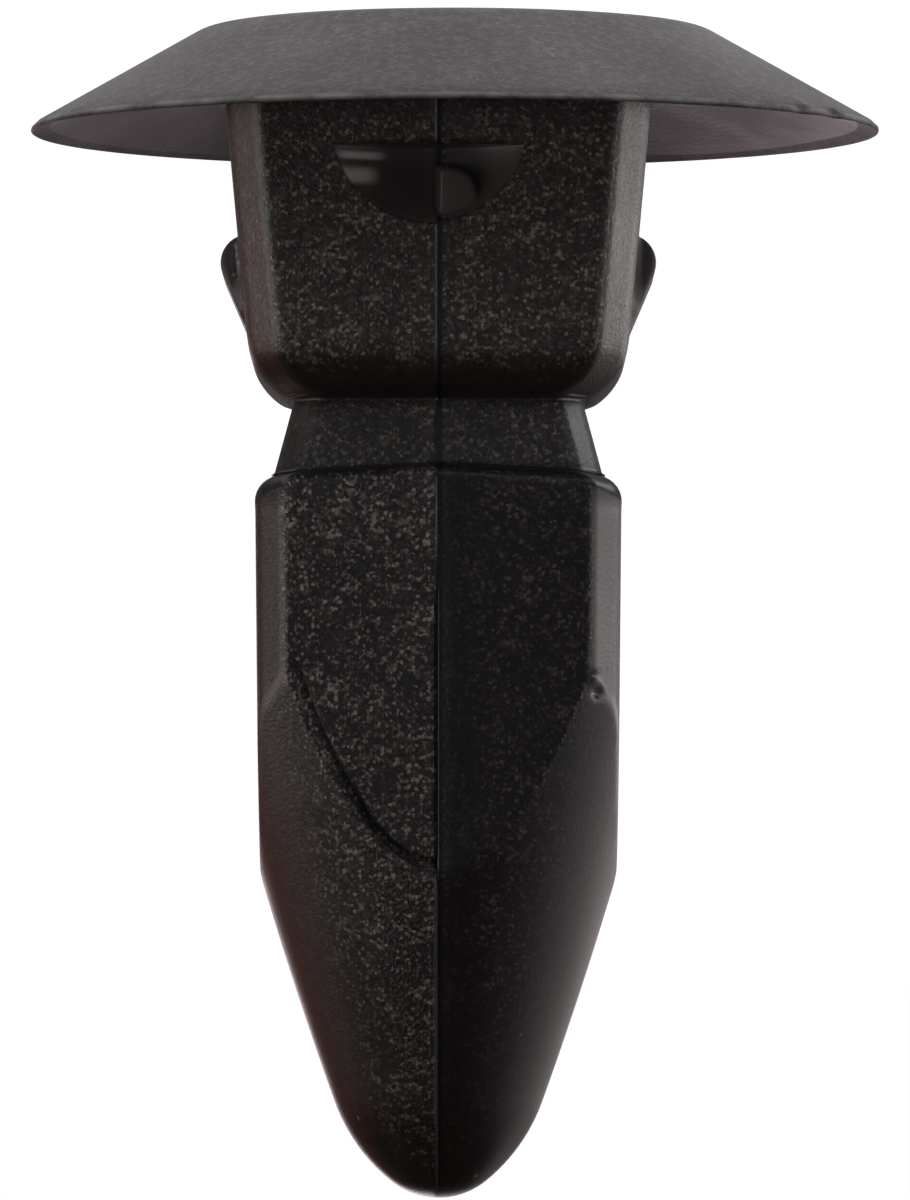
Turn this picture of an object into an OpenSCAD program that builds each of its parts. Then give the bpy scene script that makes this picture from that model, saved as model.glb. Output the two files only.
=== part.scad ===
// Clip nut: a push-in plastic nut with an umbrella head, a square plug with side barbs and a bullet tip.
// It stands on the flat face of its head, with the tip up and the moulding gate towards -Y.

/* [Head] */
// Diameter over the rim of the umbrella
rim_d = 18; // [16:0.1:22]
// Diameter of the flat face of the head
face_d = 10.6; // [10:0.1:12.5]
// Height of the rim above the plane of the flat face
rim_h = 2.24; // [1.8:0.02:3]
// Thickness of the umbrella at its rim
rim_t = 0.14; // [0.1:0.01:0.5]
// Thickness of the head where the plug leaves it
root_t = 0.9; // [0.6:0.05:1.3]
// Radius on the edge of the flat face
face_edge_r = 1; // [0.5:0.1:1.5]
// Diameter of the flat floor under the umbrella
floor_d = 10.4; // [9.6:0.1:11]

/* [Shank] */
// Sideways offset of the shank from the axis of the head
shank_shift = 0.35; // [0:0.05:0.5]
// Slope of the front and back faces away from the parting line, in degrees
mould_draft = 1.5; // [0.8:0.1:3]
// Angle between the front face and the flats on the upright edges, in degrees
edge_flat_angle = 57; // [45:1:65]

/* [Plug] */
// Width of the square plug where it leaves the head
plug_root_w = 9.1; // [8.4:0.1:9.6]
// Width to which the sides of the plug taper at its end
plug_end_w = 7.8; // [7.4:0.1:8.2]
// Height of the end of the plug above the flat face
plug_end_h = 7.96; // [7.6:0.02:8.4]
// Width of the flats on the upright edges of the plug, seen from the front
plug_flat_w = 0.65; // [0.3:0.05:1]
// Height of the rounded lead at the end of the plug
lead_h = 1; // [0.6:0.05:1.3]
// Distance by which the rounded lead draws in
lead_in = 0.75; // [0.5:0.05:1]
// Radius of the rounded lead
lead_r = 1.65; // [1.3:0.05:4]

/* [Barbs] */
// Distance by which a barb stands out from the side of the plug
barb_out = 0.42; // [0.25:0.01:0.6]
// Length of a barb along the side of the plug
barb_l = 3.6; // [2:0.1:5]
// Height of the crest of a barb above the flat face
barb_crest_h = 5.1; // [4.6:0.05:5.5]
// Radius of the crest of a barb
barb_crest_r = 0.6; // [0.45:0.05:0.8]
// Height at which the ramp of a barb runs out
barb_ramp_h = 6.5; // [6.2:0.05:6.8]
// Slope of the two ends of a barb, in degrees
barb_end_draft = 35; // [5:1:45]

/* [Gate recess] */
// Height of the straight edge of the recess above the flat face
recess_edge_h = 2.8; // [2.6:0.05:3.2]
// Height of the round end of the recess above the flat face
recess_end_h = 4.52; // [4:0.02:4.8]
// Radius of the round outline of the recess
recess_r = 2; // [1.7:0.05:2.4]
// Depth of the recess
recess_depth = 0.9; // [0.5:0.05:1.1]
// Sideways offset of the recess from the parting line
recess_shift = 0.2; // [0:0.02:0.5]
// Radius of the gate stub in the recess
stub_r = 0.6; // [0.4:0.02:0.8]
// Height of the centre of the gate stub above the flat face
stub_h = 3.8; // [3.6:0.05:4.1]
// Sideways offset of the gate stub from the parting line
stub_shift = 0.2; // [0.1:0.05:0.6]
// Distance by which the gate stub stops short of the front face
stub_short = 0.15; // [0.1:0.01:0.25]

/* [Neck] */
// Width of the neck at the end of the plug
neck_w = 6.04; // [5.8:0.02:6.6]
// Width of the neck at the shoulder
neck_end_w = 6.84; // [6.7:0.02:7.2]
// Width of the flats on the upright edges of the neck, seen from the front
neck_flat_w = 0.5; // [0.3:0.05:0.9]

/* [Spear] */
// Width of the square spear at its shoulder
spear_w = 7.7; // [7.4:0.02:8]
// Width to which the sides of the spear taper at the tip
spear_end_w = 7.4; // [7.1:0.02:7.6]
// Height of the shoulder above the flat face, at the parting line
shoulder_h = 9.4; // [9:0.05:10]
// Slope of the shoulder away from the parting line, in degrees
shoulder_draft = 3; // [1:0.5:5]
// Radius on the side edges of the shoulder
shoulder_r = 0.55; // [0.3:0.05:0.8]
// Radius on the front and back edges of the shoulder
shoulder_front_r = 0.3; // [0.2:0.05:0.5]
// Width of the flats on the upright edges of the spear, seen from the front
spear_flat_w = 0.6; // [0.3:0.05:0.8]

/* [Tip] */
// Whole length of the nut, from the flat face to the tip
nut_l = 24.76; // [23.5:0.02:27]
// Radius of the nose
nose_r = 1.6; // [1.2:0.05:1.8]
// Angle that the nose spreads to each side of the axis, in degrees
nose_spread = 39; // [30:0.5:45]
// Radius of the curve between the nose and the flank
blend_r = 3.8; // [3:0.05:6]
// Angle of the flank to the axis where it meets the curve of the nose, in degrees
flank_angle = 19.8; // [17:0.1:21]
// Radius of the long curve of the flank
flank_r = 90; // [70:1:140]

/* [Screw hole] */
// Diameter of the screw hole
hole_d = 3.6; // [3:0.1:4.2]
// Depth of the straight part of the screw hole
hole_depth = 18; // [12:0.5:19]
// Diameter of the countersunk mouth of the screw hole
mouth_d = 5.4; // [4.8:0.1:6.2]
// Depth of the countersunk mouth
mouth_depth = 0.9; // [0.5:0.05:1.4]
// Whole angle of the pointed end of the screw hole, in degrees
hole_end_angle = 90; // [60:5:120]

/* [Hidden] */
$fn = 96;

// Facets round the large arcs of the tip
arc_facets = 360;
// Margin by which cutting shapes reach past the material
past = 2;
// Angle at which a round crosses the faces that it joins, in degrees
round_break = 6;
// Angle by which the ramp of a barb runs into its crest, in degrees
ramp_bite = 12;

plug_slope = (plug_root_w - plug_end_w) / 2 / (plug_end_h - root_t);
plug_foot_h = root_t / 2;
neck_slope = (neck_w - neck_end_w) / 2 / (shoulder_h - plug_end_h);
neck_foot_h = plug_end_h - lead_h;
neck_top_h = shoulder_h + spear_w * tan(shoulder_draft);
spear_slope = (spear_w - spear_end_w) / 2 / (nut_l - shoulder_h);

// Half widths of the plug, the neck and the spear at a height
function plug_half(h) = plug_root_w / 2 - plug_slope * (h - root_t);
function neck_half(h) = neck_w / 2 - neck_slope * (h - plug_end_h);
function spear_half(h) = spear_w / 2 - spear_slope * (h - shoulder_h);

// Distance of the foot of a barb from the axis of the shank, inside the plug
barb_foot_x = plug_half(barb_ramp_h) - barb_crest_r;

// Unit vector along a direction
function unit(v) = v / norm(v);

// Point at an angle from the axis on an arc about a centre
function on_arc(centre, radius, angle) = centre + radius * [sin(angle), cos(angle)];

// Centre of the arc of a radius that bulges away from the axis between two points
function arc_centre(p, q, radius) =
    let (chord = q - p, rise = sqrt(radius * radius - chord * chord / 4))
    (p + q) / 2 + rise * unit([-chord.y, chord.x]);

// Outward faces of a square block whose sides slope in, on the right-hand half of its front
function side_face(slope) = unit([1, 0, slope]);
function front_face(slope) = unit([sin(mould_draft), -cos(mould_draft), slope]);

// Depth of the front face at a distance from the parting line, for a block of a half width
function front_y(half, x) = (x * sin(mould_draft) - half) / cos(mould_draft);

// Outline in the plane of width and height, carried through the depth
module through_depth() {
    rotate([90, 0, 0]) linear_extrude(height = 2 * rim_d, center = true) children();
}

// Outline in the plane of depth and height, carried across the width
module across_width() {
    rotate([90, 0, 90]) linear_extrude(height = 2 * rim_d, center = true) children();
}

// Right-hand front quarter of a square block with the outline of its child
// Its front face slopes away from the parting line
module block_quarter() {
    intersection() {
        through_depth() children();
        rotate([0, 0, mould_draft]) across_width() children();
        translate([0, -rim_d, 0]) cube([rim_d, rim_d, nut_l + past]);
    }
}

// Four copies of the child, one in each quarter
module in_quarters() {
    for (turn_x = [0, 1], turn_y = [0, 1])
        mirror([turn_x, 0, 0]) mirror([0, turn_y, 0]) children();
}

// Child carried to a point, with its X axis and its Z axis turned to two directions
module aligned(x_axis, z_axis, point) {
    y_axis = cross(z_axis, x_axis);
    multmatrix([
        [x_axis.x, y_axis.x, z_axis.x, point.x],
        [x_axis.y, y_axis.y, z_axis.y, point.y],
        [x_axis.z, y_axis.z, z_axis.z, point.z],
        [0, 0, 0, 1]
    ])
    children();
}

// Waste to take off the edge where two faces meet at a point, so that a round is left
module round_waste(face_a, face_b, point, radius) {
    inset = radius * cos(round_break);
    centre = point - inset * (face_a + face_b) / (1 + face_a * face_b);
    aligned(face_a, unit(cross(face_a, face_b)), centre)
        difference() {
            translate([0, 0, -nut_l]) cube([2 * radius, 2 * radius, 2 * nut_l]);
            cylinder(r = radius, h = 3 * nut_l, center = true);
        }
}

// Waste to take off the upright edge of a quarter block of a half width at a height, so that a flat is left
module flat_waste(h, half, slope, flat_w) {
    side = side_face(slope);
    front = front_face(slope);
    flat_face = unit(cos(edge_flat_angle) * front + sin(edge_flat_angle) * side);
    start_x = half - flat_w;
    aligned(flat_face, unit(cross(side, front)), [start_x, front_y(half, start_x), h])
        translate([0, -rim_d, -nut_l]) cube([rim_d, 2 * rim_d, 2 * nut_l]);
}

// Umbrella head: a flat face with a thin cone that opens towards the tip
module head() {
    face_edge = [face_d / 2, 0];
    cone = [rim_d / 2, rim_h - rim_t] - face_edge;
    edge_angle = atan2(cone.y, cone.x);
    edge_l = face_edge_r * tan(edge_angle / 2);
    inset = face_edge_r * cos(round_break * edge_angle / 90);
    rotate_extrude()
        difference() {
            polygon([
                [0, 0],
                face_edge,
                [rim_d / 2, rim_h - rim_t],
                [rim_d / 2, rim_h],
                [floor_d / 2, root_t],
                [0, root_t]
            ]);
            difference() {
                translate(face_edge - [edge_l, edge_l]) square([2 * edge_l, 2 * edge_l]);
                translate(face_edge + [-edge_l, inset]) circle(face_edge_r);
            }
        }
}

// Outline of the plug: sides that taper to a rounded lead
module plug_outline() {
    lead_start = [plug_half(plug_end_h - lead_h), plug_end_h - lead_h];
    lead_end = [lead_start.x - lead_in, plug_end_h];
    difference() {
        polygon([
            [-plug_half(plug_foot_h), plug_foot_h],
            [plug_half(plug_foot_h), plug_foot_h],
            [plug_half(plug_end_h), plug_end_h],
            [-plug_half(plug_end_h), plug_end_h]
        ]);
        for (turn = [0, 1])
            mirror([turn, 0])
                difference() {
                    translate(lead_end - [0, lead_h]) square(lead_in + past);
                    translate(arc_centre(lead_start, lead_end, lead_r)) circle(lead_r);
                }
    }
}

// Square plug that fills the panel hole
module plug() {
    in_quarters()
        difference() {
            block_quarter() plug_outline();
            flat_waste(root_t, plug_half(root_t), plug_slope, plug_flat_w);
        }
}

// Outline of a barb: a round crest with a long ramp towards the tip
module barb_outline() {
    crest = [plug_half(barb_crest_h) + barb_out - barb_crest_r, barb_crest_h];
    ramp_end = [plug_half(barb_ramp_h), barb_ramp_h];
    ramp = ramp_end - crest;
    touch = atan2(ramp.y, ramp.x) - acos(barb_crest_r / norm(ramp)) - ramp_bite;
    ramp_start = crest + barb_crest_r * [cos(touch), sin(touch)];
    translate(crest) circle(barb_crest_r);
    polygon([[barb_foot_x, barb_crest_h], ramp_start, ramp_end, [barb_foot_x, barb_ramp_h]]);
}

// Barb on the right-hand side of the plug
module barb() {
    crest_x = plug_half(barb_crest_h) + barb_out;
    foot_half = barb_l / 2 + (crest_x - barb_foot_x) * tan(barb_end_draft);
    intersection() {
        through_depth() barb_outline();
        linear_extrude(height = nut_l)
            polygon([
                [barb_foot_x, -foot_half],
                [crest_x, -barb_l / 2],
                [crest_x + past, -barb_l / 2],
                [crest_x + past, barb_l / 2],
                [crest_x, barb_l / 2],
                [barb_foot_x, foot_half]
            ]);
    }
}

// Waste of the scoop round the moulding gate: part of a ball, cut off straight towards the head
module recess_waste() {
    ball_h = recess_end_h - recess_r;
    ball_r = (recess_r * recess_r + recess_depth * recess_depth) / (2 * recess_depth);
    ball_y = -plug_half(recess_edge_h) + recess_depth - ball_r;
    difference() {
        translate([recess_shift, ball_y, ball_h]) sphere(ball_r);
        translate([-rim_d, -rim_d, recess_edge_h - rim_d]) cube([2 * rim_d, 2 * rim_d, rim_d]);
    }
}

// Half-round stub that the gate leaves in the recess, on one side of the parting line
module gate_stub() {
    stub_end = plug_half(stub_h) - stub_short;
    intersection() {
        translate([-stub_shift, -stub_end, stub_h])
            rotate([-90, 0, 0]) cylinder(r = stub_r, h = recess_depth + stub_r);
        translate([-rim_d, -rim_d, 0]) cube([rim_d, rim_d, rim_d]);
    }
}

// Neck that widens from the plug to the shoulder
module neck() {
    in_quarters()
        difference() {
            block_quarter()
                polygon([
                    [-neck_half(neck_foot_h), neck_foot_h],
                    [neck_half(neck_foot_h), neck_foot_h],
                    [neck_half(neck_top_h), neck_top_h],
                    [-neck_half(neck_top_h), neck_top_h]
                ]);
            flat_waste(shoulder_h, neck_half(shoulder_h), neck_slope, neck_flat_w);
        }
}

// Square part of the spear, with a shoulder that slopes away from the parting line
module spear_block() {
    shoulder_face = [sin(shoulder_draft), 0, -cos(shoulder_draft)];
    shoulder_half = spear_half(shoulder_h);
    shoulder_side = [shoulder_half, 0, shoulder_h + shoulder_half * tan(shoulder_draft)];
    shoulder_front = [0, front_y(shoulder_half, 0), shoulder_h];
    in_quarters()
        difference() {
            block_quarter()
                polygon([
                    [0, shoulder_h],
                    [shoulder_side.x, shoulder_side.z],
                    [spear_half(nut_l), nut_l],
                    [-spear_half(nut_l), nut_l],
                    [-shoulder_side.x, shoulder_side.z]
                ]);
            flat_waste(shoulder_h, shoulder_half, spear_slope, spear_flat_w);
            round_waste(shoulder_face, side_face(spear_slope), shoulder_side, shoulder_r);
            round_waste(front_face(spear_slope), shoulder_face, shoulder_front, shoulder_front_r);
        }
}

// Part of the disc about a centre, on the right of the axis, between two heights
module disc_band(centre, radius, low, high) {
    intersection() {
        translate(centre) circle(radius, $fn = arc_facets);
        polygon([[0, low], [rim_d, low], [rim_d, high], [0, high]]);
    }
}

// Spear: the square block sharpened by a bullet-shaped flank, with a rounded nose
module spear() {
    nose_centre = [0, nut_l - nose_r];
    nose_end = on_arc(nose_centre, nose_r, nose_spread);
    blend_centre = on_arc(nose_end, -blend_r, nose_spread);
    flank_end = on_arc(blend_centre, blend_r, 90 - flank_angle);
    flank_centre = on_arc(flank_end, -flank_r, 90 - flank_angle);
    intersection() {
        spear_block();
        rotate_extrude() disc_band(flank_centre, flank_r, plug_end_h, flank_end.y);
    }
    rotate_extrude() disc_band(blend_centre, blend_r, flank_end.y, nose_end.y);
    rotate_extrude() disc_band(nose_centre, nose_r, nose_end.y, nut_l);
}

// Screw hole with a countersunk mouth and a pointed end
module screw_hole() {
    hole_r = hole_d / 2;
    point_l = hole_r / tan(hole_end_angle / 2);
    mouth_r = mouth_d / 2;
    mouth_past = past * (mouth_r - hole_r) / mouth_depth;
    translate([0, 0, -past]) cylinder(r = hole_r, h = hole_depth + past);
    translate([0, 0, hole_depth]) cylinder(r1 = hole_r, r2 = 0, h = point_l);
    translate([0, 0, -past]) cylinder(r1 = mouth_r + mouth_past, r2 = hole_r, h = mouth_depth + past);
}

module clip_nut() {
    color("#1d1c1d")
    difference() {
        union() {
            head();
            translate([shank_shift, 0, 0]) {
                difference() {
                    plug();
                    recess_waste();
                }
                gate_stub();
                for (turn = [0, 1])
                    mirror([turn, 0, 0]) barb();
                neck();
                spear();
            }
        }
        screw_hole();
    }
}

clip_nut();
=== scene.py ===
import math

import bpy
import numpy as np
from mathutils import Matrix, Vector


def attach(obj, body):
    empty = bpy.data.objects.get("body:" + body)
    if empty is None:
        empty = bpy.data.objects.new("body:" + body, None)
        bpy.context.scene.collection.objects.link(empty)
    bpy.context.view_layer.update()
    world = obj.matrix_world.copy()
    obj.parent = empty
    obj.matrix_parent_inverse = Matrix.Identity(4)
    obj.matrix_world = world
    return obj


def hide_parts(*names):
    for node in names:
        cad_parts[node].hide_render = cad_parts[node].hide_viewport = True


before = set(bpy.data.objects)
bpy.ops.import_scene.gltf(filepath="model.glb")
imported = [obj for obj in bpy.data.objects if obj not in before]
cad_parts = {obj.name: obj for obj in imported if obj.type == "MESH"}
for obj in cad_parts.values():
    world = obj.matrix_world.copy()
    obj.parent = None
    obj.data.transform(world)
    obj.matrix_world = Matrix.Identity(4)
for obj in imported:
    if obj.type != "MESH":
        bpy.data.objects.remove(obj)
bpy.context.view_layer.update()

MM = 0.001

# Umbrella head, in millimetres
RIM_R = 9.0
RIM_H = 2.24
RIM_T = 0.14
FACE_R = 5.3
FACE_EDGE_R = 1.0
FLOOR_R = 5.2
ROOT_T = 0.9
ROOT_FILLET = 0.2

# Shank: its axis lies beside the axis of the head, and its front and back slope away from the parting line
SHANK_SHIFT = 0.35
MOULD_DRAFT = math.radians(1.5)
EDGE_FLAT_ANGLE = math.radians(57)
EDGE_SOFT = 0.22

# Square plug with its rounded lead
PLUG_ROOT_HALF = 4.55
PLUG_END_HALF = 3.9
PLUG_END_H = 7.96
PLUG_FLAT_W = 0.65
LEAD_H = 1.0
LEAD_IN = 0.75
LEAD_R = 1.65
LEAD_END_R = 0.08
LEAD_SOFT = 0.08

# Barbs on the two sides of the plug
BARB_OUT = 0.42
BARB_HALF_L = 1.8
BARB_CREST_H = 5.1
BARB_CREST_R = 0.6
BARB_RAMP_H = 6.5
BARB_END_DRAFT = math.radians(35)
BARB_SOFT = 0.08

# Scoop round the moulding gate, and the stub that the gate left in it
RECESS_EDGE_H = 2.8
RECESS_END_H = 4.52
RECESS_R = 2.0
RECESS_DEPTH = 0.9
RECESS_SHIFT = 0.2
RECESS_SOFT = 0.06
STUB_R = 0.6
STUB_H = 3.8
STUB_SHIFT = 0.2
STUB_SHORT = 0.15
STUB_SOFT = 0.07

# Neck
NECK_HALF = 3.02
NECK_END_HALF = 3.42
NECK_FLAT_W = 0.5
NECK_FILLET = 0.1

# Spear with its shoulder
SPEAR_HALF = 3.85
SPEAR_END_HALF = 3.7
SPEAR_FLAT_W = 0.6
SHOULDER_H = 9.4
SHOULDER_DRAFT = math.radians(3)
SHOULDER_SIDE_R = 0.55
SHOULDER_FRONT_R = 0.3

# Bullet tip
NUT_L = 24.76
NOSE_R = 1.6
NOSE_SPREAD = math.radians(39)
BLEND_R = 3.8
FLANK_ANGLE = math.radians(19.8)
FLANK_R = 90.0
FLANK_SOFT = 0.05

# Screw hole
HOLE_R = 1.8
HOLE_DEPTH = 18.0
MOUTH_R = 2.7
MOUTH_DEPTH = 0.9
HOLE_POINT_L = 1.8

# Traces of the mould: a fin beside a fine groove along the parting line
FIN_H = 0.02
FIN_AT = 0.14
FIN_HALF_W = 0.09
LINE_DEPTH = 0.05
LINE_HALF_W = 0.045
LINE_RUN_OUT_W = 0.2
LINE_AT = SHANK_SHIFT - 0.02
LINE_START_R = (0.1, 0.7)

# On one half of the mould the flat front of the spear is sunk a little below the flank and the flats
PANEL_DEPTH = 0.08
PANEL_STEP_W = 0.12
PANEL_INSET = 0.1
GROOVE_DEPTH = 0.15
GROOVE_AT = 0.11
GROOVE_HALF_W = 0.07
PANEL_FADE_H = (10.9, 12.9)
PANEL_TOP_H = 17.9
PANEL_FOOT_H = 13.3

# Small nibbles along the rim, and two nicks as angle and half width in degrees, and depth
RIM_NIBBLE = 0.02
RIM_NICKS = ((306, 1.6, 0.1), (297.5, 1.3, 0.13))

# Painted highlights: pale streaks at one end of the gate scoop, each from one distance from the head's axis to
# another, at a height, with half its height
SCOOP_HIGHLIGHTS = ((1.55, 2.42, 2.99, 0.08), (1.7, 2.45, 3.42, 0.16))
HIGHLIGHT_SOFT = 0.2

# Knocks on the front of the spear, each as distance from the parting line, height, half width and depth
KNOCKS = ((-3.24, 13.87, 0.1, -0.035), (-3.33, 14.2, 0.1, 0.07))

# Places round the shank at which the spacing of the columns changes, as angle in degrees and columns up to it
FRONT_COLUMNS = ((1.6, 4), (4.0, 5), (30, 38), (37, 7), (55.5, 24), (64.5, 6), (69.5, 8), (90, 10))
BACK_COLUMNS = ((110.5, 8), (115.5, 5), (124.5, 5), (143, 14), (150, 4), (176, 10), (178.4, 3), (180, 3))


def column_angles():
    """Angles round the shank from the front, towards +X first, with both halves alike."""
    half = [0.0]
    for end, count in FRONT_COLUMNS + BACK_COLUMNS:
        half += list(np.linspace(half[-1], end, count + 1)[1:])
    other = [360 - angle for angle in half[-2:0:-1]]
    return np.radians(half + other)


ANGLE = column_angles()
OUT_X = np.sin(ANGLE)
OUT_Y = -np.cos(ANGLE)
ASIDE = np.abs(OUT_X)
AHEAD = np.abs(OUT_Y)
ON_FRONT = OUT_Y < -0.7
ON_SIDE = ASIDE > 0.75
# Share of the side in the corners, from 0 on the front and back to 1 on the sides
SIDE_SHARE = np.clip((np.degrees(np.arctan2(ASIDE, AHEAD)) - 40) / 13, 0, 1)


def soft_min(a, b, width):
    """The smaller of two values, with a round of about that width where they meet."""
    near = np.clip(width - np.abs(a - b), 0, None) / width
    return np.minimum(a, b) - near * near * width / 4


def soft_max(a, b, width):
    return -soft_min(-a, -b, width)


def smooth_step(x, start, end):
    t = np.clip((x - start) / (end - start), 0, 1)
    return t * t * (3 - 2 * t)


def along(start, end, count):
    """Values from start towards end, without the end itself."""
    return np.linspace(start, end, count, endpoint=False)


# Half widths of the shank at a height
def plug_half(h):
    return PLUG_ROOT_HALF - (PLUG_ROOT_HALF - PLUG_END_HALF) * (h - ROOT_T) / (PLUG_END_H - ROOT_T)


def neck_half(h):
    return NECK_HALF + (NECK_END_HALF - NECK_HALF) * (h - PLUG_END_H) / (SHOULDER_H - PLUG_END_H)


def spear_half(h):
    return SPEAR_HALF - (SPEAR_HALF - SPEAR_END_HALF) * (h - SHOULDER_H) / (NUT_L - SHOULDER_H)


def square_radius(side_half, front_half, flat_w):
    """Distance from the axis to a square outline with drafted faces and flats on its edges, in each column."""
    lean, face = math.sin(MOULD_DRAFT), math.cos(MOULD_DRAFT)
    to_side = side_half / np.maximum(ASIDE, 1e-6)
    to_front = front_half / (lean * ASIDE + face * AHEAD)
    flat_x, flat_y = math.sin(EDGE_FLAT_ANGLE), math.cos(EDGE_FLAT_ANGLE)
    start_x = side_half - flat_w
    start_y = (front_half - lean * start_x) / face
    to_flat = (flat_x * start_x + flat_y * start_y) / (flat_x * ASIDE + flat_y * AHEAD)
    return soft_min(soft_min(to_front, to_flat, EDGE_SOFT), to_side, EDGE_SOFT)


# Arcs of the bullet tip, as distance from the axis and height
def on_arc(centre, radius, angle):
    return np.array(centre) + radius * np.array([np.sin(angle), np.cos(angle)])


nose_centre = np.array([0, NUT_L - NOSE_R])
nose_end = on_arc(nose_centre, NOSE_R, NOSE_SPREAD)
blend_centre = on_arc(nose_end, -BLEND_R, NOSE_SPREAD)
flank_end = on_arc(blend_centre, BLEND_R, math.pi / 2 - FLANK_ANGLE)
flank_centre = on_arc(flank_end, -FLANK_R, math.pi / 2 - FLANK_ANGLE)


def flank_radius(h):
    return flank_centre[0] + np.sqrt(FLANK_R**2 - (h - flank_centre[1]) ** 2)


def parting(radius):
    """Distance from the axis with the fin and the groove of the parting line."""
    aside = radius * OUT_X
    fin = FIN_H * np.exp(-(((aside - FIN_AT) / FIN_HALF_W) ** 2))
    line = LINE_DEPTH * np.exp(-((aside / np.where(aside > 0, LINE_HALF_W, LINE_RUN_OUT_W)) ** 2))
    return radius + (fin - line) * smooth_step(AHEAD, 0.85, 0.95) * smooth_step(radius, *LINE_START_R)


class Rows:
    """Rings of points from the tip of the nut to the blind end of its screw hole."""

    def __init__(self):
        self.points = []
        self.bands = []
        self.band = 0

    def add(self, radius, height, shift):
        x = radius * OUT_X + shift
        y = radius * OUT_Y
        z = height + np.zeros_like(ANGLE)
        self.points.append(np.stack([x, y, z], axis=1))
        self.bands.append(np.full(len(ANGLE), self.band))

    def add_points(self, points):
        self.points.append(points)
        self.bands.append(np.full(len(ANGLE), self.band))


GRAINED, SMOOTH, UMBRELLA, UNDERSIDE = range(4)


def tip_rows(rows):
    for turn in np.linspace(0, NOSE_SPREAD, 12)[1:-1]:
        radius, height = on_arc(nose_centre, NOSE_R, turn)
        rows.add(parting(np.full_like(ANGLE, radius)), height, SHANK_SHIFT)
    for turn in along(NOSE_SPREAD, math.pi / 2 - FLANK_ANGLE, 12):
        radius, height = on_arc(blend_centre, BLEND_R, turn)
        rows.add(parting(np.full_like(ANGLE, radius)), height, SHANK_SHIFT)


def spear_radius(height):
    half = spear_half(height)
    block = square_radius(half, half, SPEAR_FLAT_W)
    flank = flank_radius(height)
    aside = block * OUT_X
    on_panel = smooth_step(half - SPEAR_FLAT_W - PANEL_INSET - aside, 0, PANEL_INSET)
    on_panel = on_panel * (aside > 0) * (OUT_Y < 0)
    from_edge = (flank - block) / np.hypot(math.tan(FLANK_ANGLE), ASIDE / np.maximum(AHEAD, 0.1))
    sunk = PANEL_DEPTH * smooth_step(from_edge, 0, PANEL_STEP_W)
    sunk = sunk + GROOVE_DEPTH * np.exp(-(((from_edge - GROOVE_AT) / GROOVE_HALF_W) ** 2))
    sunk = sunk * on_panel * smooth_step(height, *PANEL_FADE_H)
    radius = soft_min(block, flank, FLANK_SOFT) - sunk
    for place, knock_h, half_w, depth in KNOCKS:
        apart = np.hypot(radius * OUT_X - place, height - knock_h) / half_w
        radius = radius - depth * np.exp(-(apart**2)) * (OUT_Y < 0)
    return radius


def spear_rows(rows):
    top_of_round = SHOULDER_H + SPEAR_HALF * math.tan(SHOULDER_DRAFT) + SHOULDER_SIDE_R
    spans = (
        (flank_end[1], PANEL_TOP_H, 22),
        (PANEL_TOP_H, PANEL_FOOT_H, 68),
        (PANEL_FOOT_H, top_of_round, 14),
    )
    for height in np.concatenate([along(*span) for span in spans]):
        rows.add(parting(spear_radius(height)), height, SHANK_SHIFT)


def shoulder_height(radius):
    return SHOULDER_H + radius * ASIDE * math.tan(SHOULDER_DRAFT)


def shoulder_rows(rows):
    outline = square_radius(SPEAR_HALF, SPEAR_HALF, SPEAR_FLAT_W)
    round_r = SHOULDER_FRONT_R + (SHOULDER_SIDE_R - SHOULDER_FRONT_R) * SIDE_SHARE
    for turn in np.linspace(0, math.pi / 2, 9):
        inset = 1 - math.cos(turn)
        side = SPEAR_HALF - SHOULDER_SIDE_R * inset
        front = SPEAR_HALF - SHOULDER_FRONT_R * inset
        radius = square_radius(side, front, SPEAR_FLAT_W)
        height = shoulder_height(outline) + round_r * (1 - math.sin(turn))
        rows.add(parting(radius), height, SHANK_SHIFT)
    edge = radius
    foot = square_radius(neck_half(SHOULDER_H), neck_half(SHOULDER_H), NECK_FLAT_W)
    for share in np.linspace(0, 1, 5)[1:-1]:
        radius = edge + (foot + NECK_FILLET - edge) * share
        rows.add(parting(radius), shoulder_height(radius), SHANK_SHIFT)
    for turn in np.linspace(0, math.pi / 2, 4):
        radius = foot + NECK_FILLET * (1 - math.sin(turn))
        height = shoulder_height(foot) - NECK_FILLET * (1 - math.cos(turn))
        rows.add(parting(radius), height, SHANK_SHIFT)


def neck_rows(rows):
    foot = square_radius(neck_half(SHOULDER_H), neck_half(SHOULDER_H), NECK_FLAT_W)
    top = shoulder_height(foot) - NECK_FILLET
    bottom = PLUG_END_H + NECK_FILLET
    for share in np.linspace(0, 1, 16)[1:]:
        height = top + (bottom - top) * share
        half = neck_half(SHOULDER_H + (bottom - SHOULDER_H) * share)
        rows.add(parting(square_radius(half, half, NECK_FLAT_W)), height, SHANK_SHIFT)
    for turn in np.linspace(0, math.pi / 2, 4)[1:]:
        half = NECK_HALF + NECK_FILLET * (1 - math.cos(turn))
        height = PLUG_END_H + NECK_FILLET * (1 - math.sin(turn))
        rows.add(parting(square_radius(half, half, NECK_FLAT_W)), height, SHANK_SHIFT)


lead_start = np.array([plug_half(PLUG_END_H - LEAD_H), PLUG_END_H - LEAD_H])
lead_end = lead_start + [-LEAD_IN, LEAD_H]


def lead_centre():
    chord = lead_end - lead_start
    length = math.hypot(*chord)
    rise = math.sqrt(LEAD_R**2 - length**2 / 4)
    return (lead_start + lead_end) / 2 + rise * np.array([-chord[1], chord[0]]) / length


LEAD_CENTRE = lead_centre()
LEAD_SLOPE = (lead_start - LEAD_CENTRE)[1] / (lead_start - LEAD_CENTRE)[0]


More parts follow.
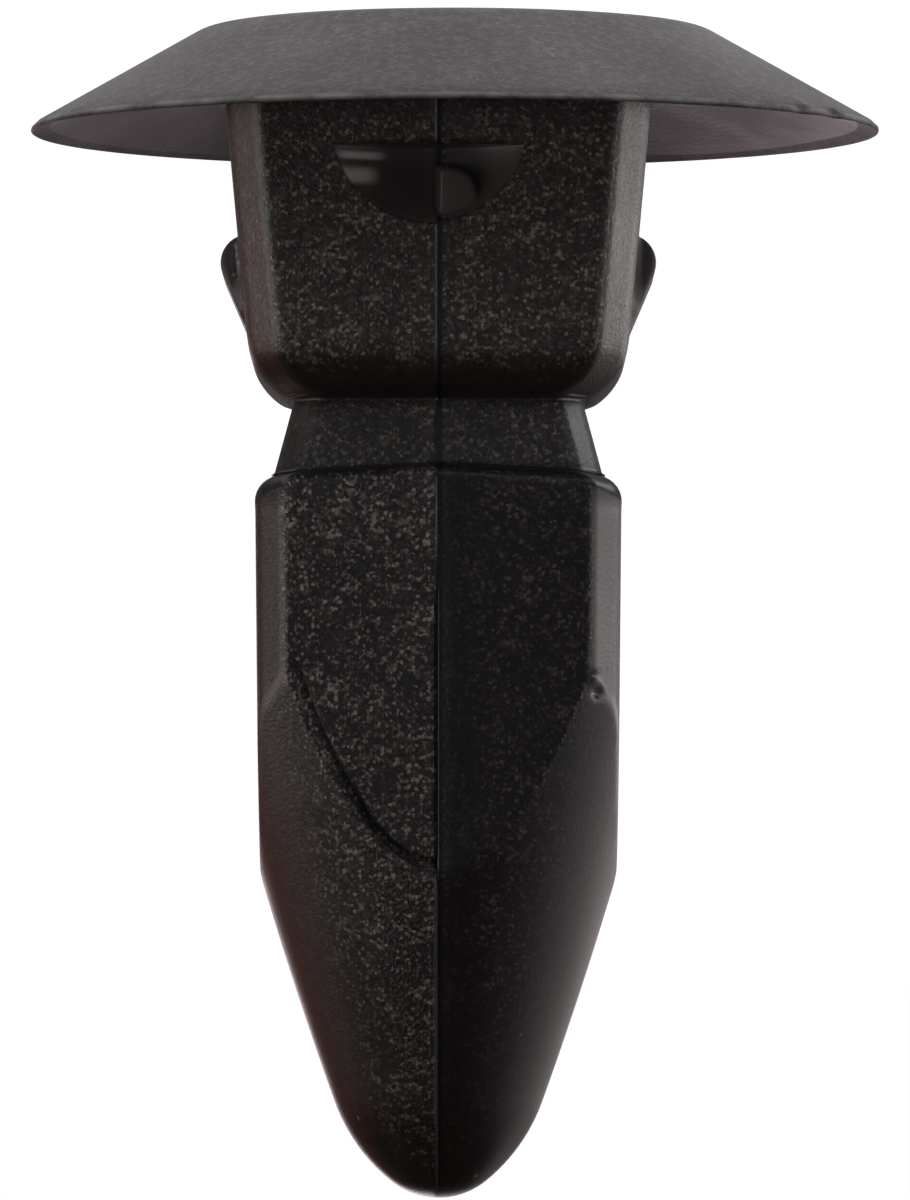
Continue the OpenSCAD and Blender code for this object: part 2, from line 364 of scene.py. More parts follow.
def plug_outline_half(h):
    """Half width of the plug at a height, where its side runs smoothly into the rounded lead."""
    if h < lead_start[1]:
        lead = lead_start[0] + LEAD_SLOPE * (lead_start[1] - h)
    else:
        lead = LEAD_CENTRE[0] + math.sqrt(LEAD_R**2 - (h - LEAD_CENTRE[1]) ** 2)
    return float(soft_min(np.array(lead), np.array(plug_half(h)), LEAD_SOFT))


def lead_rows(rows):
    first = math.atan2(*(lead_end - LEAD_CENTRE))
    last = math.atan2(*(lead_start - LEAD_CENTRE))
    inner = NECK_HALF + NECK_FILLET
    outer = lead_end[0] - LEAD_END_R
    for share in (0.35, 0.7, 1.0):
        half = inner + (outer - inner) * share
        rows.add(parting(square_radius(half, half, NECK_FLAT_W)), PLUG_END_H, SHANK_SHIFT)
    for turn in np.linspace(first, last, 15):
        height = on_arc(LEAD_CENTRE, LEAD_R, turn)[1]
        half = plug_outline_half(height)
        height -= LEAD_END_R / 4 * math.exp(-(((turn - first) * LEAD_R / LEAD_END_R) ** 2))
        rows.add(parting(square_radius(half, half, PLUG_FLAT_W)), height, SHANK_SHIFT)


def barb_height(height):
    """How far a barb stands out from the side of the plug at a height."""
    centre = plug_half(BARB_CREST_H) + BARB_OUT - BARB_CREST_R
    run_out = np.array([plug_half(BARB_RAMP_H), BARB_RAMP_H])
    ramp = run_out - [centre, BARB_CREST_H]
    touch = math.atan2(ramp[1], ramp[0]) - math.acos(BARB_CREST_R / math.hypot(*ramp))
    start_x = centre + BARB_CREST_R * math.cos(touch)
    start_h = BARB_CREST_H + BARB_CREST_R * math.sin(touch)
    if height > start_h:
        share = (height - start_h) / (BARB_RAMP_H - start_h)
        return start_x + (run_out[0] - start_x) * share - plug_half(height)
    within = BARB_CREST_R**2 - (height - BARB_CREST_H) ** 2
    return centre + math.sqrt(max(within, 0)) - plug_half(height)


def barb_radius(radius, height):
    side = plug_half(height)
    crest_x = plug_half(BARB_CREST_H) + BARB_OUT
    stand_out = barb_height(height)
    if stand_out < 0 or height > BARB_RAMP_H:
        return radius
    for _ in range(3):
        lengthwise = radius * AHEAD
        end_wall = crest_x - side - (lengthwise - BARB_HALF_L) / math.tan(BARB_END_DRAFT)
        raised = soft_min(np.full_like(ANGLE, stand_out), end_wall, BARB_SOFT)
        barb = (side + raised) / np.maximum(ASIDE, 0.5)
        radius = np.where(ON_SIDE & (raised > 0), np.maximum(radius, barb), radius)
    return radius


# Ball whose surface the gate scoop follows, with its centre beside the axis of the shank
SCOOP_R = (RECESS_R**2 + RECESS_DEPTH**2) / (2 * RECESS_DEPTH)
SCOOP_CENTRE = (RECESS_SHIFT, -plug_half(RECESS_EDGE_H) + RECESS_DEPTH - SCOOP_R, RECESS_END_H - RECESS_R)


def recess_radius(radius, height):
    scoop_x, scoop_y, scoop_h = SCOOP_CENTRE
    stub_y = -plug_half(STUB_H) + STUB_SHORT
    front_y = radius * OUT_Y
    scooped = radius
    for _ in range(4):
        x = scooped * OUT_X
        depth = SCOOP_R**2 - (x - scoop_x) ** 2 - (height - scoop_h) ** 2
        ball = scoop_y + np.sqrt(np.clip(depth, 0, None))
        floor = soft_max(front_y, np.where(depth > 0, ball, front_y - 1), RECESS_SOFT)
        inside = STUB_R - np.hypot(x + STUB_SHIFT, height - STUB_H)
        on_stub = smooth_step(soft_min(inside, -x, STUB_SOFT), -STUB_SOFT, STUB_SOFT)
        floor = floor + (np.minimum(floor, stub_y) - floor) * on_stub
        scooped = np.where(ON_FRONT, floor / np.minimum(OUT_Y, -0.5), radius)
    return scooped


def plug_heights():
    barb_foot_h = BARB_CREST_H - BARB_CREST_R - 0.05
    spans = (
        (PLUG_END_H - LEAD_H - 0.08, BARB_RAMP_H + 0.05, 4),
        (BARB_RAMP_H + 0.05, BARB_CREST_H, 16),
        (BARB_CREST_H, barb_foot_h, 13),
        (barb_foot_h, RECESS_EDGE_H + 0.06, 24),
        (RECESS_EDGE_H + 0.06, RECESS_EDGE_H, 3),
    )
    return np.concatenate([along(*span) for span in spans])


def plug_rows(rows):
    for height in plug_heights():
        half = plug_outline_half(height)
        plain = square_radius(half, half, PLUG_FLAT_W)
        barbed = barb_radius(plain, height)
        rows.add(parting(recess_radius(barbed, height)), height, SHANK_SHIFT)
        rows.bands[-1] = np.where(barbed - plain > 0.02, SMOOTH, GRAINED)
    plain = square_radius(plug_half(RECESS_EDGE_H), plug_half(RECESS_EDGE_H), PLUG_FLAT_W)
    scooped = plain - recess_radius(plain, RECESS_EDGE_H)
    for share in (0.0, 0.5, 0.93):
        height = RECESS_EDGE_H - 0.02 * share
        half = plug_half(height)
        radius = square_radius(half, half, PLUG_FLAT_W) - scooped * (1 - share)
        rows.add(parting(radius), height, SHANK_SHIFT)
    for height in along(RECESS_EDGE_H - 0.07, ROOT_T + 0.65, 12):
        half = plug_half(height)
        rows.add(parting(square_radius(half, half, PLUG_FLAT_W)), height, SHANK_SHIFT)


def underside_height(distance):
    """Height of the floor and the inner cone of the umbrella at a distance from the axis of the head."""
    cone = ROOT_T + (RIM_H - ROOT_T) * (distance - FLOOR_R) / (RIM_R - FLOOR_R)
    return soft_max(np.full_like(distance, ROOT_T), cone, 0.1)


def rim_wander():
    """Small nibbles along the rim, always inwards, with two deeper nicks."""
    waves = sum(np.sin(ANGLE * turns + turns**2) for turns in (7, 17, 29, 43)) / 4
    nicks = sum(
        depth * np.exp(-(((np.degrees(ANGLE) - place) / width) ** 2))
        for place, width, depth in RIM_NICKS
    )
    return RIM_NIBBLE * (waves - 1) / 2 - nicks


def umbrella_rows(rows):
    root_half = plug_half(ROOT_T)
    outline = square_radius(root_half, root_half, PLUG_FLAT_W)
    foot = np.stack([outline * OUT_X + SHANK_SHIFT, outline * OUT_Y], axis=1)
    rim = np.stack([RIM_R * OUT_X, RIM_R * OUT_Y], axis=1)
    outward = (rim - foot) / np.linalg.norm(rim - foot, axis=1, keepdims=True)
    for turn in np.linspace(0, math.pi / 2, 4):
        plan = foot + outward * ROOT_FILLET * (1 - math.cos(turn))
        floor = underside_height(np.linalg.norm(foot + outward * ROOT_FILLET, axis=1))
        height = floor + ROOT_FILLET * (1 - math.sin(turn))
        rows.add_points(np.column_stack([plan, height]))
    rows.band = UNDERSIDE
    rows.bands[-1][:] = UNDERSIDE
    start = foot + outward * ROOT_FILLET
    wander = rim_wander()
    edge = rim * (1 + (wander[:, None] - RIM_T / 2) / RIM_R)
    for share in np.linspace(0, 1, 13)[1:]:
        plan = start + (edge - start) * share
        height = underside_height(np.linalg.norm(plan, axis=1))
        rows.add_points(np.column_stack([plan, height]))
    rows.band = UMBRELLA
    rows.bands[-1][:] = UMBRELLA
    middle = RIM_H - RIM_T / 2
    for turn in np.linspace(math.pi / 2, -math.pi / 3, 6)[1:]:
        radius = RIM_R + wander - RIM_T / 2 * (1 - math.cos(turn))
        rows.add(radius, middle + RIM_T / 2 * math.sin(turn) * 0.9, 0)


def head_rows(rows):
    cone_rise = RIM_H - RIM_T
    cone_angle = math.atan2(cone_rise, RIM_R - FACE_R)
    edge_l = FACE_EDGE_R * math.tan(cone_angle / 2)
    cone_start = np.array([RIM_R - RIM_T, cone_rise * (1 - RIM_T / (RIM_R - FACE_R))])
    cone_end = np.array([FACE_R + edge_l * math.cos(cone_angle), edge_l * math.sin(cone_angle)])
    for share in along(0, 1, 10):
        radius, height = cone_start + (cone_end - cone_start) * share
        rows.add(np.full_like(ANGLE, radius), height, 0)
    for turn in np.linspace(cone_angle, 0, 8):
        radius = FACE_R - edge_l + FACE_EDGE_R * math.sin(turn)
        rows.add(np.full_like(ANGLE, radius), FACE_EDGE_R * (1 - math.cos(turn)), 0)
    for radius in along(FACE_R - edge_l - 0.3, MOUTH_R + 0.06, 4):
        rows.add(np.full_like(ANGLE, radius), 0, 0)
    rows.add(np.full_like(ANGLE, MOUTH_R + 0.06), 0, 0)


def hole_rows(rows):
    rows.band = SMOOTH
    slope = (MOUTH_R - HOLE_R) / MOUTH_DEPTH
    for height in (0.06, 0.3, 0.6, MOUTH_DEPTH - 0.06):
        rows.add(np.full_like(ANGLE, MOUTH_R - slope * height), height, 0)
    for height in np.linspace(MOUTH_DEPTH + 0.06, HOLE_DEPTH - 0.05, 5):
        rows.add(np.full_like(ANGLE, HOLE_R), height, 0)
    for share in (0.05, 0.5, 0.9):
        rows.add(np.full_like(ANGLE, HOLE_R * (1 - share)), HOLE_DEPTH + HOLE_POINT_L * share, 0)


def moulded_nut():
    rows = Rows()
    tip_rows(rows)
    spear_rows(rows)
    shoulder_rows(rows)
    neck_rows(rows)
    lead_rows(rows)
    plug_rows(rows)
    umbrella_rows(rows)
    head_rows(rows)
    hole_rows(rows)
    bands = np.array(rows.bands)
    points = np.array(rows.points)
    count, columns = bands.shape
    tip = [SHANK_SHIFT, 0, NUT_L]
    hole_end = [0, 0, HOLE_DEPTH + HOLE_POINT_L]
    vertices = np.concatenate([points.reshape(-1, 3), [tip, hole_end]]) * MM
    index = np.arange(count * columns).reshape(count, columns)
    beside = np.roll(index, -1, axis=1)
    quads = np.stack([index[:-1], index[1:], beside[1:], beside[:-1]], axis=2).reshape(-1, 4)
    faces = quads.tolist()
    faces += [[count * columns, a, b] for a, b in zip(index[0], beside[0])]
    faces += [[count * columns + 1, b, a] for a, b in zip(index[-1], beside[-1])]
    mesh = bpy.data.meshes.new("moulded_nut")
    mesh.from_pydata(vertices.tolist(), [], faces)
    finishes = np.concatenate([bands[1:].reshape(-1), bands[0], bands[-1]])
    mesh.polygons.foreach_set("material_index", finishes.astype(np.int32))
    mesh.polygons.foreach_set("use_smooth", np.ones(len(faces), dtype=bool))
    mesh.validate()
    mesh.update()
    nut = bpy.data.objects.new("moulded_nut", mesh)
    bpy.context.scene.collection.objects.link(nut)
    return nut


def new_group(name, inputs, outputs):
    """Shader node group with float inputs that have a default, and with named outputs of a kind."""
    group = bpy.data.node_groups.new(name, "ShaderNodeTree")
    for label, value in inputs:
        socket = group.interface.new_socket(label, in_out="INPUT", socket_type="NodeSocketFloat")
        socket.default_value = value
    for label, kind in outputs:
        group.interface.new_socket(label, in_out="OUTPUT", socket_type=kind)
    return group, group.nodes.new("NodeGroupInput"), group.nodes.new("NodeGroupOutput")


def math_node(tree, operation, first, second):
    node = tree.nodes.new("ShaderNodeMath")
    node.operation = operation
    for socket, value in zip(node.inputs, (first, second)):
        if isinstance(value, (int, float)):
            socket.default_value = value
        else:
            tree.links.new(value, socket)
    return node.outputs[0]


def product(tree, first, *others):
    """All values multiplied."""
    for other in others:
        first = math_node(tree, "MULTIPLY", first, other)
    return first


def ramp(tree, value, start, end, low=0.0, high=1.0):
    """Value carried smoothly from one range to another."""
    node = tree.nodes.new("ShaderNodeMapRange")
    node.interpolation_type = "SMOOTHSTEP"
    tree.links.new(value, node.inputs["Value"])
    for label, number in (("From Min", start), ("From Max", end), ("To Min", low), ("To Max", high)):
        if isinstance(number, (int, float)):
            node.inputs[label].default_value = number
        else:
            tree.links.new(number, node.inputs[label])
    return node.outputs["Result"]


def over(tree, value, span, low, high):
    """Value in metres carried from a span in millimetres to another range."""
    return ramp(tree, value, span[0] * MM, span[1] * MM, low, high)


def mixed(tree, share, first, second):
    """Colour between two colours, each a socket or a tuple."""
    node = tree.nodes.new("ShaderNodeMix")
    node.data_type = "RGBA"
    tree.links.new(share, node.inputs[0])
    for socket, colour in ((node.inputs[6], first), (node.inputs[7], second)):
        if isinstance(colour, tuple):
            socket.default_value = (*colour, 1)
        else:
            tree.links.new(colour, socket)
    return node.outputs[2]


def noise(tree, place, scale, detail=2.0, roughness=0.5):
    node = tree.nodes.new("ShaderNodeTexNoise")
    node.inputs["Detail"].default_value = detail
    node.inputs["Roughness"].default_value = roughness
    tree.links.new(place, node.inputs["Vector"])
    if isinstance(scale, (int, float)):
        node.inputs["Scale"].default_value = scale
    else:
        tree.links.new(scale, node.inputs["Scale"])
    return node.outputs["Fac"]


# Shares of the craters and of the fine noise in the height of the grain
CRATER_SHARE = 0.32
FINE_SHARE = 1.16
# Height above which a crumb stands out, and how far the share of crumbs and the slow patches lower it
CRUMB_LEVEL = 1.27
CRUMB_SHARE_DROP = 0.45
PATCH_DROP = 0.5
PATCHES_PER_GRAIN = 0.12
CRUMB_SOFT = 0.28
CRUMB_CONTRAST = 3.0


def eroded_grain_group():
    """Craters and crumbs of a spark-eroded mould: a height, and a mask of the crumbs that stand out, which the
    materials paint pale as glints.
    """
    inputs = (("Grains per metre", 7000.0), ("Share of crumbs", 0.5))
    outputs = (("Height", "NodeSocketFloat"), ("Crumb glints", "NodeSocketFloat"))
    group, given, result = new_group("eroded_grain", inputs, outputs)
    grains = given.outputs["Grains per metre"]
    place = group.nodes.new("ShaderNodeTexCoord").outputs["Object"]
    cells = group.nodes.new("ShaderNodeTexVoronoi")
    cells.feature = "F1"
    group.links.new(place, cells.inputs["Vector"])
    group.links.new(grains, cells.inputs["Scale"])
    fine = noise(group, place, grains, 3.0, 0.65)
    craters = math_node(group, "SUBTRACT", 1.0, cells.outputs["Distance"])
    craters = product(group, craters, CRATER_SHARE)
    height = math_node(group, "ADD", craters, product(group, fine, FINE_SHARE))
    group.links.new(height, result.inputs["Height"])
    patches = noise(group, place, product(group, grains, PATCHES_PER_GRAIN), 2.0, 0.5)
    drop = product(group, given.outputs["Share of crumbs"], CRUMB_SHARE_DROP)
    level = math_node(group, "SUBTRACT", CRUMB_LEVEL, drop)
    level = math_node(group, "SUBTRACT", level, product(group, patches, PATCH_DROP))
    crumbs = ramp(group, height, level, math_node(group, "ADD", level, CRUMB_SOFT))
    chance = group.nodes.new("ShaderNodeSeparateColor")
    group.links.new(cells.outputs["Color"], chance.inputs["Color"])
    bright = math_node(group, "POWER", chance.outputs["Red"], CRUMB_CONTRAST)
    group.links.new(product(group, crumbs, bright), result.inputs["Crumb glints"])
    return group


def moulding_tone_group():
    """Slow changes of tone over a moulding, and specks of pale dust."""
    inputs = (("Dust", 0.3),)
    outputs = (("Tone", "NodeSocketFloat"), ("Mottle", "NodeSocketFloat"), ("Dust", "NodeSocketFloat"))
    group, given, result = new_group("moulding_tone", inputs, outputs)
    place = group.nodes.new("ShaderNodeTexCoord").outputs["Object"]
    group.links.new(noise(group, place, 260.0, 3.0, 0.55), result.inputs["Tone"])
    mottle = ramp(group, noise(group, place, 5200.0, 3.0, 0.6), 0.42, 0.68)
    group.links.new(mottle, result.inputs["Mottle"])
    specks = noise(group, place, 3200.0, 1.0, 0.4)
    level = math_node(group, "SUBTRACT", 0.84, math_node(group, "MULTIPLY", given.outputs["Dust"], 0.12))
    dust = ramp(group, specks, level, math_node(group, "ADD", level, 0.05))
    group.links.new(dust, result.inputs["Dust"])
    return group


ERODED_GRAIN = eroded_grain_group()
MOULDING_TONE = moulding_tone_group()


def new_finish(name, specular=0.5):
    """New material, with its node tree and its shader."""
    material = bpy.data.materials.new(name)
    material.use_nodes = True
    shader = material.node_tree.nodes["Principled BSDF"]
    shader.inputs["IOR"].default_value = 1.53
    shader.inputs["Specular IOR Level"].default_value = specular
    return material, material.node_tree, shader


def placed(tree, group, **values):
    node = tree.nodes.new("ShaderNodeGroup")
    node.node_tree = group
    for label, value in values.items():
        node.inputs[label.replace("_", " ")].default_value = value
    return node


def bumped(tree, shader, height, depth):
    bump = tree.nodes.new("ShaderNodeBump")
    bump.inputs["Strength"].default_value = 1
    bump.inputs["Distance"].default_value = depth
    tree.links.new(height, bump.inputs["Height"])
    tree.links.new(bump.outputs["Normal"], shader.inputs["Normal"])


# Colours of the black nylon
NYLON = (0.009, 0.008, 0.008)
NYLON_LIGHT = (0.016, 0.014, 0.014)
NYLON_PLUG = (0.020, 0.018, 0.017)
MOTTLE = (0.075, 0.067, 0.062)
# Pale end of the smooth nylon's tone, and the painted light in the gate scoop
PALE_NYLON_AND_SCOOP_LIGHT = (0.085, 0.077, 0.075)
# Painted highlight at one end of the gate scoop
SCOOP_HIGHLIGHT = (0.62, 0.58, 0.58)
# Crumbs of the grain, painted pale to stand in for their glints
CRUMB_GLINT = (0.58, 0.54, 0.50)
UMBRELLA_DARK = (0.035, 0.029, 0.034)
UMBRELLA_LIGHT = (0.046, 0.038, 0.044)
UMBRELLA_MOTTLE = (0.078, 0.066, 0.074)
PALE_RIM = (0.135, 0.121, 0.116)
# Underside colours, painted pale and warm as reflected light
LIT_UNDERSIDE = (0.045, 0.033, 0.036)
LIT_UNDERSIDE_PALE = (0.070, 0.053, 0.057)
DUST = (0.16, 0.15, 0.14)


def scoop_share(tree, place, height):
    """1 on the surface of the gate scoop and 0 outside it."""
    apart = tree.nodes.new("ShaderNodeVectorMath")
    apart.operation = "DISTANCE"
    tree.links.new(place, apart.inputs[0])
    apart.inputs[1].default_value = (Vector(SCOOP_CENTRE) + Vector((SHANK_SHIFT, 0, 0))) * MM
    within = ramp(tree, apart.outputs["Value"], (SCOOP_R + 0.01) * MM, (SCOOP_R + 0.05) * MM, 1.0, 0.0)
    above_edge = ramp(tree, height, (RECESS_EDGE_H - 0.03) * MM, RECESS_EDGE_H * MM)
    return math_node(tree, "MULTIPLY", within, above_edge)


def highlight_share(tree, aside, height):
    """1 on the painted highlights at one end of the gate scoop and 0 beside them."""
    highlights = []
    for start_x, end_x, highlight_h, half_h in SCOOP_HIGHLIGHTS:
        begun = ramp(tree, aside, (start_x - HIGHLIGHT_SOFT) * MM, (start_x + HIGHLIGHT_SOFT) * MM)
        ended = ramp(tree, aside, (end_x - HIGHLIGHT_SOFT) * MM, (end_x + HIGHLIGHT_SOFT) * MM, 1.0, 0.0)
        off = math_node(tree, "ABSOLUTE", math_node(tree, "SUBTRACT", height, highlight_h * MM), 0.0)
        level = ramp(tree, off, half_h * MM / 4, half_h * MM * 1.6, 1.0, 0.0)
        highlights.append(math_node(tree, "MULTIPLY", math_node(tree, "MULTIPLY", begun, ended), level))
    return math_node(tree, "MAXIMUM", *highlights)


# Grain of the shank, and how rough its plug is beside the roughest half of its spear
SHANK_GRAINS = 12500
SHANK_CRUMBS = 0.95
SHANK_GRAIN_DEPTH = 0.000055
PLUG_ROUGH = 0.62

# Places across the shank and heights, in millimetres, over which its grain changes, and over which shade is
# painted along the parting line and under the rim
ROUGH_HALF_X = (SHANK_SHIFT - 0.05, SHANK_SHIFT + 0.1)
FAR_HALF_X = (SHANK_SHIFT - 1.4, SHANK_SHIFT - 0.3)
LINE_SHADE_SPAN = (0.03, 0.1)
ROOT_SHADE_H = (1.6, 3.0)
LEAD_FADE_H = (PLUG_END_H - LEAD_H, PLUG_END_H - 0.4)
PAST_LEAD_H = (PLUG_END_H, PLUG_END_H + 0.2)
NECK_END_H = (SHOULDER_H - 0.1, SHOULDER_H + 0.2)
TIP_FADE_H = (18.5, 22.0)


def grained_nylon():
    """Shank: near-black with eroded grain, which shows more of its crumbs on one half of the mould; the crumbs
    are painted pale as glints, with painted shade along the parting line and under the rim, painted light in
    the gate scoop and painted highlights at one end of it.
    """
    material, tree, shader = new_finish("grained_nylon")
    grain = placed(tree, ERODED_GRAIN, Grains_per_metre=SHANK_GRAINS, Share_of_crumbs=SHANK_CRUMBS)
    tone = placed(tree, MOULDING_TONE, Dust=0.35)
    place = tree.nodes.new("ShaderNodeTexCoord").outputs["Object"]
    split = tree.nodes.new("ShaderNodeSeparateXYZ")
    tree.links.new(place, split.inputs[0])
    across, height = split.outputs["X"], split.outputs["Z"]
    facing = tree.nodes.new("ShaderNodeSeparateXYZ")
    tree.links.new(tree.nodes.new("ShaderNodeTexCoord").outputs["Normal"], facing.inputs[0])
    ahead = math_node(tree, "ABSOLUTE", facing.outputs["Y"], 0.0)
    aside = math_node(tree, "ABSOLUTE", facing.outputs["X"], 0.0)

    # The plug is rough all over, the spear mostly on one half of the mould
    rough_half = over(tree, across, ROUGH_HALF_X, 0.08, 0.8)
    rough_half = math_node(tree, "MAXIMUM", rough_half, over(tree, across, FAR_HALF_X, 0.22, 0.08))
    on_plug = over(tree, height, NECK_END_H, 1.0, 0.0)
    past_neck = math_node(tree, "SUBTRACT", 1.0, on_plug)
    rough = product(tree, rough_half, past_neck)
    rough = math_node(tree, "ADD", rough, product(tree, on_plug, PLUG_ROUGH))

    # Fewer crumbs and less mottle along the parting line and at the root under the rim, where shade is
    # painted, and fewer on the lead and towards the tip
    out_of_line_shade = math_node(tree, "ABSOLUTE", math_node(tree, "SUBTRACT", across, LINE_AT * MM), 0.0)
    out_of_line_shade = over(tree, out_of_line_shade, LINE_SHADE_SPAN, 0.0, 1.0)
    out_of_root_shade = over(tree, height, ROOT_SHADE_H, 0.4, 1.0)
    off_ends = product(tree, out_of_root_shade, over(tree, height, TIP_FADE_H, 1.0, 0.6))
    past_lead = over(tree, height, PAST_LEAD_H, 0.0, 0.55)
    off_lead = math_node(tree, "MAXIMUM", past_lead, past_neck)
    off_lead = math_node(tree, "MAXIMUM", over(tree, height, LEAD_FADE_H, 1.0, 0.1), off_lead)
    unshaded_and_kept = product(tree, off_lead, out_of_line_shade, off_ends)
    scoop = scoop_share(tree, place, height)
    outside = math_node(tree, "SUBTRACT", 1.0, scoop)

    # Crumbs, painted pale as glints, and relief show on the front, the back and the sides, and much less on
    # the edge flats
    on_side = ramp(tree, aside, 0.955, 0.985, 0.0, 0.6)
    flat_crumbs = ramp(tree, on_plug, 0.0, 1.0, 0.06, 0.4)
    facing_crumbs = math_node(tree, "MAXIMUM", ramp(tree, ahead, 0.6, 0.93, flat_crumbs, 1.0), on_side)
    crumbs = product(tree, grain.outputs["Crumb glints"], rough, facing_crumbs, unshaded_and_kept, outside)
    flat_relief = ramp(tree, on_plug, 0.0, 1.0, 0.12, 0.25)
    facing_relief = math_node(tree, "MAXIMUM", ramp(tree, ahead, 0.82, 1.0, flat_relief, 1.0), on_side)
    rough_relief = ramp(tree, rough, 0.1, 0.62, 0.35, 0.85)
    relief = product(tree, grain.outputs["Height"], rough_relief, facing_relief, outside)
    bumped(tree, shader, relief, SHANK_GRAIN_DEPTH)

    mottle = product(tree, tone.outputs["Mottle"], rough, unshaded_and_kept, ramp(tree, on_plug, 0.0, 1.0, 0.35, 1.0))
    base = mixed(tree, tone.outputs["Tone"], NYLON, NYLON_LIGHT)
    base = mixed(tree, on_plug, base, NYLON_PLUG)
    base = mixed(tree, mottle, base, MOTTLE)
    # Painted shade along the parting line: the base goes to plain dark nylon there
    base = mixed(tree, out_of_line_shade, NYLON, base)
    # Painted light in the gate scoop: its base is made paler where little light reaches
    base = mixed(tree, scoop, base, PALE_NYLON_AND_SCOOP_LIGHT)
    # Painted glints: the grain's crumbs are given a pale colour in place of their glints
    base = mixed(tree, crumbs, base, CRUMB_GLINT)
    base = mixed(tree, tone.outputs["Dust"], base, DUST)
    # Painted highlights: pale streaks at one end of the gate scoop
    base = mixed(tree, product(tree, highlight_share(tree, across, height), scoop), base, SCOOP_HIGHLIGHT)
    tree.links.new(base, shader.inputs["Base Color"])

    # The lead is duller towards the sides
    dull = ramp(tree, ahead, 0.15, 0.45, 0.45, 0.0)
    dull = product(tree, dull, ramp(tree, off_lead, 0.15, 0.9, 1.0, 0.0))
    roughness = ramp(tree, tone.outputs["Tone"], 0.3, 0.7, 0.285, 0.36)
    tree.links.new(math_node(tree, "ADD", roughness, dull), shader.inputs["Roughness"])
    return material


def smooth_nylon():
    """Barbs and screw hole: dark and smooth, with faint drag marks."""
    material, tree, shader = new_finish("smooth_nylon")
    grain = placed(tree, ERODED_GRAIN, Grains_per_metre=2600, Share_of_crumbs=0.1)
    tone = placed(tree, MOULDING_TONE, Dust=0.2)
    base = mixed(tree, tone.outputs["Tone"], NYLON_PLUG, PALE_NYLON_AND_SCOOP_LIGHT)
    base = mixed(tree, tone.outputs["Dust"], base, DUST)
    tree.links.new(base, shader.inputs["Base Color"])
    tree.links.new(ramp(tree, tone.outputs["Tone"], 0.3, 0.7, 0.44, 0.56), shader.inputs["Roughness"])
    bumped(tree, shader, grain.outputs["Height"], 0.000012)
    return material


def rim_share(tree):
    """1 on the worn places along the rim of the umbrella and 0 elsewhere."""
    place = tree.nodes.new("ShaderNodeTexCoord").outputs["Object"]
    flat = tree.nodes.new("ShaderNodeVectorMath")
    flat.operation = "MULTIPLY"
    tree.links.new(place, flat.inputs[0])
    flat.inputs[1].default_value = (1, 1, 0)
    away = tree.nodes.new("ShaderNodeVectorMath")
    away.operation = "LENGTH"
    tree.links.new(flat.outputs["Vector"], away.inputs[0])
    on_rim = ramp(tree, away.outputs["Value"], (RIM_R - 0.13) * MM, (RIM_R - 0.05) * MM)
    worn = ramp(tree, noise(tree, place, 1100.0, 3.0, 0.6), 0.36, 0.62)
    return math_node(tree, "MULTIPLY", on_rim, worn)


def umbrella_nylon():
    """Outside of the umbrella: dull grey with a fine mottled grain and a worn rim."""
    material, tree, shader = new_finish("umbrella_nylon")
    grain = placed(tree, ERODED_GRAIN, Grains_per_metre=13000, Share_of_crumbs=0.55)
    tone = placed(tree, MOULDING_TONE, Dust=0.25)
    base = mixed(tree, tone.outputs["Tone"], UMBRELLA_DARK, UMBRELLA_LIGHT)
    base = mixed(tree, tone.outputs["Mottle"], base, UMBRELLA_MOTTLE)
    # Painted glints: a few pale crumbs on the umbrella as well
    crumbs = math_node(tree, "MULTIPLY", grain.outputs["Crumb glints"], 0.2)
    base = mixed(tree, crumbs, base, CRUMB_GLINT)
    base = mixed(tree, tone.outputs["Dust"], base, DUST)
    base = mixed(tree, rim_share(tree), base, PALE_RIM)
    tree.links.new(base, shader.inputs["Base Color"])
    tree.links.new(ramp(tree, tone.outputs["Tone"], 0.3, 0.7, 0.55, 0.68), shader.inputs["Roughness"])
    bumped(tree, shader, grain.outputs["Height"], 0.00002)
    return material


def underside_nylon():
    """Inside of the umbrella: smoother, its colour painted pale and warm as reflected light."""
    material, tree, shader = new_finish("underside_nylon")
    grain = placed(tree, ERODED_GRAIN, Grains_per_metre=9000, Share_of_crumbs=0.2)
    tone = placed(tree, MOULDING_TONE, Dust=0.25)
    # Painted reflected light: the underside is given a pale warm colour
    base = mixed(tree, tone.outputs["Tone"], LIT_UNDERSIDE, LIT_UNDERSIDE_PALE)
    base = mixed(tree, tone.outputs["Dust"], base, DUST)
    tree.links.new(base, shader.inputs["Base Color"])
    tree.links.new(ramp(tree, tone.outputs["Tone"], 0.3, 0.7, 0.44, 0.58), shader.inputs["Roughness"])
    bumped(tree, shader, grain.outputs["Height"], 0.000012)
    return material


# Floor: half its width, its height just below the nut, and distances in millimetres over which its glow fades,
# from the nut and from a patch that lights one flat of the neck
STAGE_HALF = 1.5
STAGE_H = -0.02 * MM
NEAR_GLOW = (10, 18)
PATCH_GLOW = (5, 11)
PATCH_AT = (-22 * MM, 9 * MM, 0)
STAGE_SEEN = 0.99


